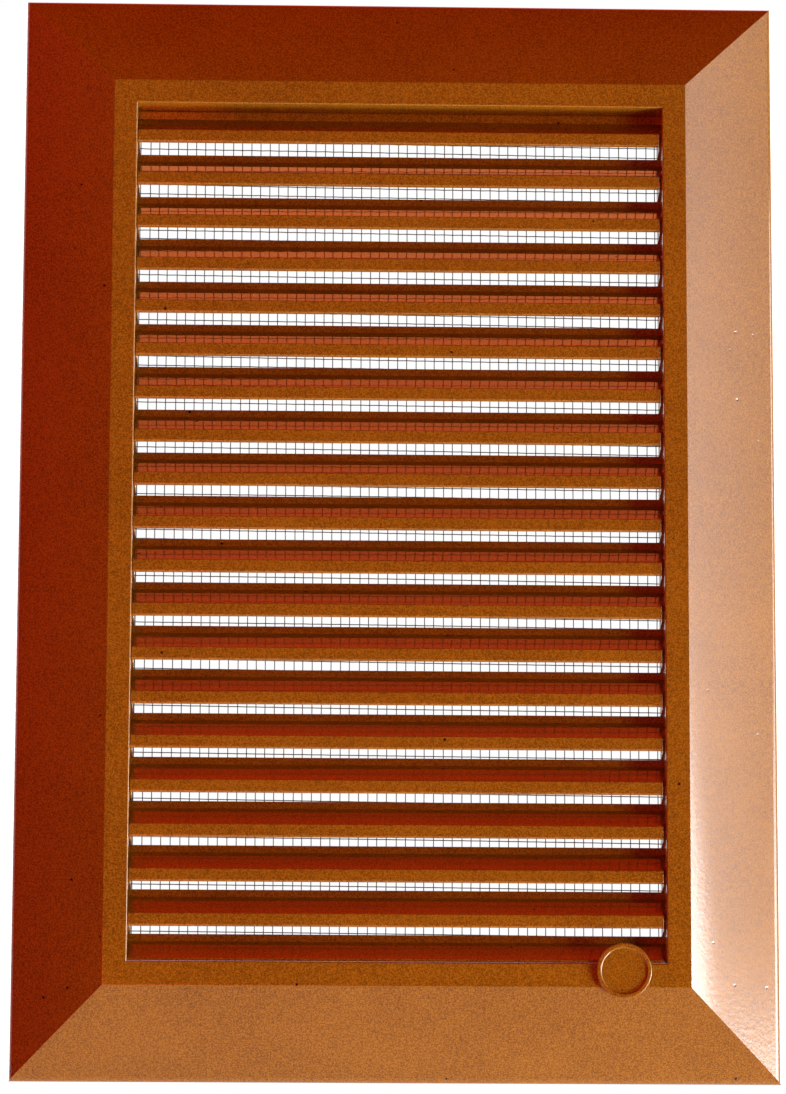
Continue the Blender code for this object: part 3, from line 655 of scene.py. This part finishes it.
def makeCarrier(look, blade, sign):
    bm = bmesh.new()
    low, high = sorted((sign * look["inner"], sign * look["outer"]))
    addBox(bm, (low, look["frontY"], -look["halfHigh"]), (high, look["backY"], look["halfHigh"]))
    front = look["frontY"] - blade["lipY"]
    back = look["backY"] - blade["lipY"]
    flangeFront = blade["depth"] - blade["flangeWall"]
    padRoot = look["inner"] + look["padRoot"]
    padLength = look["padReach"] + look["padRoot"]
    for index in range(1, blade["count"]):
        lipZ = blade["topLip"] - index * blade["pitch"]
        above = blade["pitch"]
        seam = look["seam"]
        outline = [
            (front, above - look["sightGap"] * front / flangeFront),
            (flangeFront, blade["rise"] + seam),
            (back, blade["rise"] + seam),
            (back, above + plateBottom(blade, back) - seam),
            (front, above + plateBottom(blade, front) - seam),
        ]
        middle = sign * (padRoot - padLength / 2)
        addSlab(bm, outline, padLength,
                placementOf((0, 1, 0), (0, 0, 1), (1, 0, 0), (middle, blade["lipY"], lipZ)))
    side = "Right" if sign > 0 else "Left"
    piece = newPiece("bladeCarrier" + side, bm, absFrame)
    edge = piece.modifiers.new("mouldedEdges", "BEVEL")
    edge.width = look["edgeSoftening"]
    edge.segments = 2
    edge.limit_method = "ANGLE"
    edge.angle_limit = math.radians(25)
    finishShading(piece)
    finishPiece(piece, "blade_carrier_" + side.lower())


makeCarrier(carrierLook, bladeLook, -1)
makeCarrier(carrierLook, bladeLook, 1)
print("carriers made")

# The screen's clamping frame keeps its solid and takes the moulded finish
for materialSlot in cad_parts["screen_frame"].material_slots:
    materialSlot.material = absFrame


# Insect screen: plain weave, each wire passing over and under the crossing ones
screenLook = {
    "pitch": 1.96 * mm,
    "diameter": 0.2 * mm,
    "sides": 4,
    "stepsPerPitch": 2,
    "middleY": -2.075 * mm,
    "wave": 0.1 * mm,
    "halfWide": 58.75 * mm,
    "halfHigh": 93.75 * mm,
    "shiftX": -0.12 * mm,
    "shiftZ": 0.0 * mm,
    "weftLean": 0.0084,  # the wires across run a little down to the right
    "stray": 0.07 * mm,
    "sweepTurn": 2.6,  # radians of a slow wave from a wire's middle to its end
    "seed": 4,
}


def addWire(bm, points, radius, sides, across):
    # tube round a nearly straight run of points; across is a direction square to the run
    along = (points[-1] - points[0]).normalized()
    side = along.cross(across).normalized()
    rings = []
    for point in points:
        ring = []
        for i in range(sides):
            angle = 2 * math.pi * i / sides
            ring.append(bm.verts.new(point + (across * math.cos(angle) + side * math.sin(angle)) * radius))
        rings.append(ring)
    for here, there in zip(rings, rings[1:]):
        for i in range(sides):
            k = (i + 1) % sides
            bm.faces.new((here[i], here[k], there[k], there[i]))
    bm.faces.new(rings[0])
    bm.faces.new(rings[-1])


def makeScreen(look):
    draw = random.Random(look["seed"])
    bm = bmesh.new()
    radius = look["diameter"] / 2
    inward = Vector((0, 1, 0))
    step = look["pitch"] / look["stepsPerPitch"]
    right, up = Vector((1, 0, 0)), Vector((0, 0, 1))
    runs = (
        (look["halfWide"], look["shiftX"], look["halfHigh"], right, up, look["shiftZ"], 1),
        (look["halfHigh"], look["shiftZ"], look["halfWide"], up, right, look["shiftX"], -1),
    )
    for halfSpread, shift, halfRun, spread, run, crossShift, sign in runs:
        count = int((halfSpread - radius) / look["pitch"])
        for i in range(-count, count + 1):
            place = shift + i * look["pitch"] + draw.uniform(-1, 1) * look["stray"]
            if abs(place) > halfSpread - radius:
                continue
            lean = draw.uniform(-1, 1) * look["stray"] - (look["weftLean"] * halfRun if sign < 0 else 0)
            sweep = draw.uniform(-1, 1) * look["stray"]
            points = []
            total = int(2 * halfRun / step)
            for j in range(total + 1):
                t = -halfRun + 2 * halfRun * j / total
                phase = math.pi * (t - crossShift) / look["pitch"] + (math.pi if i % 2 else 0)
                lift = sign * look["wave"] * math.cos(phase)
                share = t / halfRun
                off = lean * share + sweep * math.cos(share * look["sweepTurn"])
                points.append(spread * (place + off) + run * t + inward * (look["middleY"] + lift))
            addWire(bm, points, radius, look["sides"], inward)
    piece = newPiece("wovenScreen", bm, wireCoat)
    piece.data.shade_smooth()
    finishPiece(piece, "insect_screen")


makeScreen(screenLook)
print("screen made")


# Round disc: a bare raised disc with a rim, seated on the ring and the slope below it
discLook = {
    "x": 46.65 * mm,
    "z": -92.2 * mm,
    "radius": 5.65 * mm,
    "rimWidth": 0.9 * mm,
    "rimHeight": 0.35 * mm,
    "floorY": -12.35 * mm,
    "edgeRadius": 0.17 * mm,
    "turns": 128,
    "seatGap": 0.02 * mm,
    "arcSteps": 4,
    "backY": -9.5 * mm,
}


def makeDisc(look):
    inner = look["radius"] - look["rimWidth"]
    front = look["floorY"] - look["rimHeight"]
    soft = look["edgeRadius"]
    profile = roundedOutline([
        (0, look["floorY"], 0),
        (inner, look["floorY"], soft * 0.8),
        (inner, front, soft),
        (look["radius"], front, soft),
        (look["radius"], look["backY"], 0),
        (0, look["backY"], 0),
    ], look["arcSteps"])
    bm = bmesh.new()
    rings = []
    for radius, y in profile:
        if radius < 1e-6:
            rings.append([bm.verts.new((look["x"], y, look["z"]))])
            continue
        ring = []
        for i in range(look["turns"]):
            angle = 2 * math.pi * i / look["turns"]
            across, up = radius * math.cos(angle), radius * math.sin(angle)
            ring.append(bm.verts.new((look["x"] + across, y, look["z"] + up)))
        rings.append(ring)
    for here, there in zip(rings, rings[1:]):
        for i in range(look["turns"]):
            k = (i + 1) % look["turns"]
            corners = [here[i % len(here)], here[k % len(here)], there[k % len(there)], there[i % len(there)]]
            bm.faces.new(list(dict.fromkeys(corners)))
    piece = newPiece("bareDisc", bm)
    # the back follows the ring, then the slope
    crease, end, angle, centre = slopeLine(frameLook)
    outward = Vector((math.sin(angle), -math.cos(angle)))
    seat = [(-2 * look["radius"], crease.y - look["seatGap"]), (crease.x, crease.y - look["seatGap"])]
    for step in range(1, frameLook["slopeSteps"]):
        share = step / frameLook["slopeSteps"]
        lift = frameLook["bulge"] * 4 * share * (1 - share) + look["seatGap"]
        seat.append(tuple(crease.lerp(end, share) + outward * lift))
    seat += [(seat[-1][0], 0), (-2 * look["radius"], 0)]
    bm = bmesh.new()
    addSlab(bm, seat, 3 * look["radius"],
            placementOf((0, 0, -1), (0, 1, 0), (1, 0, 0), (look["x"], 0, -halfHigh)))
    cutOrJoin(piece, "DIFFERENCE", bm)
    piece.data.materials.clear()
    piece.data.materials.append(absFrame)
    finishShading(piece)
    finishPiece(piece, "round_disc")


makeDisc(discLook)
print("disc made")


# Studio: pale floor below, a pale surround behind that turns warm and dim high up, and dark in front.
# Dull surfaces get their light from the lamps, glossy ones also mirror the surround
studioLook = {
    "floorZ": -1.15,
    "floorHalf": 3.0,
    "floorColour": "#E4E2DE",
    "floorSecondColour": "#DEDCD8",
    "floorMottle": 0.025,
    "floorRoughness": 0.9,
    "floorGlow": 0.8,  # share of the floor's own paleness where it is seen or mirrored
    "surround": 1.0,
    "dark": 0.02,
    "behindFrom": (-0.05, 0.2),
    "whiteUpTo": 0.5,
    "warmFrom": 0.72,
    "dimFrom": 0.81,
    "warmWall": "#FF8C4C",
    "dimWall": "#D02A0A",
    "wallGlow": 1.75,
    "softLight": 0.08,  # how much of the surround's glow lights dull surfaces
}

# Pale wall to the right, only mirrored: brighter low down and towards the front, with a white panel in
# its lower corner and a narrow one at its far end. Directions are parts of a unit vector: right, back, up
rightWallLook = {
    "right": (0.6, 0.7),
    "back": (-0.1, -0.2),
    "rise": (0.0, 0.29),
    "low": 8.0,
    "top": 2.8,
    "depth": (0.73, 0.89),
    "far": 0.5,
    "cornerLean": 0.93,
    "cornerSlant": (0.805, 0.825),
    "cornerUpTo": (0.030, 0.042),
    "cornerGlow": 16.0,
    "farRight": (0.905, 0.92),
    "farUpTo": (0.08, 0.12),
    "farGlow": 14.0,
}

# Lamps: middle of each as seen from the vent (degrees right of front, above level), distance, size,
# radiance, colour. The key stands low at the right; two behind the vent light its back
lamps = {
    "keyPanel": ((70, -36), 1.3, (0.55, 0.50), 30.0, "#FFFFFF"),
    "sidePanel": ((48, -12), 1.2, (0.30, 0.20), 18.0, "#FFF0E0"),
    "rightPanel": ((88, 3), 1.1, (0.26, 0.50), 10.0, "#FFFFFF"),
    "backLeft": ((-140, 8), 1.3, (0.70, 0.90), 5.0, "#FFFFFF"),
    "backRight": ((140, 8), 1.3, (0.70, 0.90), 5.0, "#FFFFFF"),
    "warmFill": ((-75, 45), 1.2, (1.0, 1.0), 4.0, "#FF2806"),
    "frontFill": ((-12, -14), 1.5, (0.50, 0.50), 8.0, "#FF4214"),
}


def ramp(tree, source, reach, low=0.0, high=1.0):
    node = addNode(tree, "ShaderNodeMapRange",
                   {"From Min": reach[0], "From Max": reach[1], "To Min": low, "To Max": high},
                   {"Value": source})
    return node.outputs["Result"]


def combine(tree, operation, first, second):
    node = addNode(tree, "ShaderNodeMath", None, None, operation=operation)
    for socket, value in enumerate((first, second)):
        if isinstance(value, float):
            node.inputs[socket].default_value = value
        else:
            tree.links.new(value, node.inputs[socket])
    return node.outputs["Value"]


def makeFloor(look):
    bm = bmesh.new()
    half = look["floorHalf"]
    corners = ((-half, -half), (half, -half), (half, half), (-half, half))
    bm.faces.new([bm.verts.new((x, y, look["floorZ"])) for x, y in corners])
    # matt painted board, very slightly mottled
    material, tree = newMaterial("paleFloor")
    place = addNode(tree, "ShaderNodeTexCoord").outputs["Object"]
    grain = addNode(tree, "ShaderNodeTexNoise", {"Scale": 1 / look["floorMottle"], "Detail": 3.0},
                    {"Vector": place})
    tone = addNode(tree, "ShaderNodeMix",
                   {"A": linear(look["floorColour"]), "B": linear(look["floorSecondColour"])},
                   {"Factor": grain.outputs["Fac"]}, data_type="RGBA")
    paint = addNode(tree, "ShaderNodeBsdfPrincipled", {"Roughness": look["floorRoughness"]},
                    {"Base Color": tone.outputs["Result"]})
    # seen directly or mirrored, the floor stays pale whatever the lamps do, and keeps some shadow
    rays = addNode(tree, "ShaderNodeLightPath")
    looking = combine(tree, "MAXIMUM", rays.outputs["Is Camera Ray"], rays.outputs["Is Glossy Ray"])
    looking = combine(tree, "MAXIMUM", looking, rays.outputs["Is Transmission Ray"])
    pale = addNode(tree, "ShaderNodeEmission", {"Strength": 1.0}, {"Color": tone.outputs["Result"]})
    cover = addNode(tree, "ShaderNodeMixShader", None,
                    {0: combine(tree, "MULTIPLY", looking, look["floorGlow"]),
                     1: paint.outputs["BSDF"], 2: pale.outputs["Emission"]})
    addNode(tree, "ShaderNodeOutputMaterial", None, {"Surface": cover.outputs["Shader"]})
    newPiece("paleFloor", bm, material)


def rightWall(tree, look, parts):
    right, back, up = (parts.outputs[axis] for axis in "XYZ")
    extent = combine(tree, "MULTIPLY", ramp(tree, right, look["right"]), ramp(tree, back, look["back"]))
    height = ramp(tree, up, look["rise"], look["low"], look["top"])
    wall = combine(tree, "MULTIPLY", height, ramp(tree, right, look["depth"], 1.0, look["far"]))
    slant = combine(tree, "ADD", right, combine(tree, "MULTIPLY", up, look["cornerLean"]))
    corner = combine(tree, "MAXIMUM", ramp(tree, slant, look["cornerSlant"], 1.0, 0.0),
                     ramp(tree, up, look["cornerUpTo"], 1.0, 0.0))
    far = combine(tree, "MULTIPLY", ramp(tree, right, look["farRight"]),
                  ramp(tree, up, look["farUpTo"], 1.0, 0.0))
    panels = combine(tree, "ADD", combine(tree, "MULTIPLY", corner, look["cornerGlow"]),
                     combine(tree, "MULTIPLY", far, look["farGlow"]))
    return combine(tree, "MULTIPLY", extent, combine(tree, "ADD", wall, panels))


def makeSurround(look, wallLook):
    world = bpy.data.worlds.new("studioSurround")
    bpy.context.scene.world = world
    world.use_nodes = True
    tree = world.node_tree
    tree.nodes.clear()
    direction = addNode(tree, "ShaderNodeTexCoord").outputs["Generated"]
    parts = addNode(tree, "ShaderNodeSeparateXYZ", None, {"Vector": direction})
    behind = ramp(tree, parts.outputs["Y"], look["behindFrom"], look["dark"], look["surround"])
    height = ramp(tree, parts.outputs["Z"], (look["whiteUpTo"], look["warmFrom"]))
    warm = ramp(tree, parts.outputs["Z"], (look["warmFrom"], look["dimFrom"]))
    upper = addNode(tree, "ShaderNodeMix", {"A": linear(look["warmWall"]), "B": linear(look["dimWall"])},
                    {"Factor": warm}, data_type="RGBA")
    wall = addNode(tree, "ShaderNodeMix", {"A": (1, 1, 1, 1)},
                   {"Factor": height, "B": upper.outputs["Result"]}, data_type="RGBA")
    rays = addNode(tree, "ShaderNodeLightPath")
    glow = ramp(tree, height, (0.0, 1.0), 1.0, look["wallGlow"])
    glowing = addNode(tree, "ShaderNodeVectorMath", None, {0: wall.outputs["Result"], "Scale": glow},
                      operation="SCALE")
    soft = addNode(tree, "ShaderNodeVectorMath", {"Scale": look["softLight"]},
                   {0: wall.outputs["Result"]}, operation="SCALE")
    lit = addNode(tree, "ShaderNodeMix", None,
                  {"Factor": rays.outputs["Is Glossy Ray"], "A": soft.outputs["Vector"],
                   "B": glowing.outputs["Vector"]}, data_type="RGBA")
    # seen directly or through glass, the surround is plain white all round
    looking = combine(tree, "MAXIMUM", rays.outputs["Is Camera Ray"], rays.outputs["Is Transmission Ray"])
    tint = addNode(tree, "ShaderNodeMix", {"B": (1, 1, 1, 1)},
                   {"Factor": looking, "A": lit.outputs["Result"]}, data_type="RGBA")
    mirrored = combine(tree, "MULTIPLY", rightWall(tree, wallLook, parts), rays.outputs["Is Glossy Ray"])
    around = combine(tree, "ADD", behind, mirrored)
    seen = addNode(tree, "ShaderNodeMix", {"B": 1.0}, {"Factor": looking, "A": around},
                   data_type="FLOAT")
    sky = addNode(tree, "ShaderNodeBackground", None,
                  {"Color": tint.outputs["Result"], "Strength": seen.outputs["Result"]})
    addNode(tree, "ShaderNodeOutputWorld", None, {"Surface": sky.outputs["Background"]})


def placeLamps(setup):
    for name, (place, distance, size, radiance, colour) in setup.items():
        right, above = (math.radians(angle) for angle in place)
        level = math.cos(above)
        towards = Vector((math.sin(right) * level, -math.cos(right) * level, math.sin(above)))
        data = bpy.data.lights.new(name, "AREA")
        data.shape = "RECTANGLE"
        data.size, data.size_y = size
        data.energy = radiance * math.pi * size[0] * size[1]
        data.color = linear(colour)[:3]
        lamp = bpy.data.objects.new(name, data)
        lamp.location = towards * distance
        lamp.rotation_euler = towards.to_track_quat("Z", "Y").to_euler()
        bpy.context.scene.collection.objects.link(lamp)


makeFloor(studioLook)
makeSurround(studioLook, rightWallLook)
placeLamps(lamps)
bpy.context.scene.view_settings.view_transform = "Standard"
print("studio made")
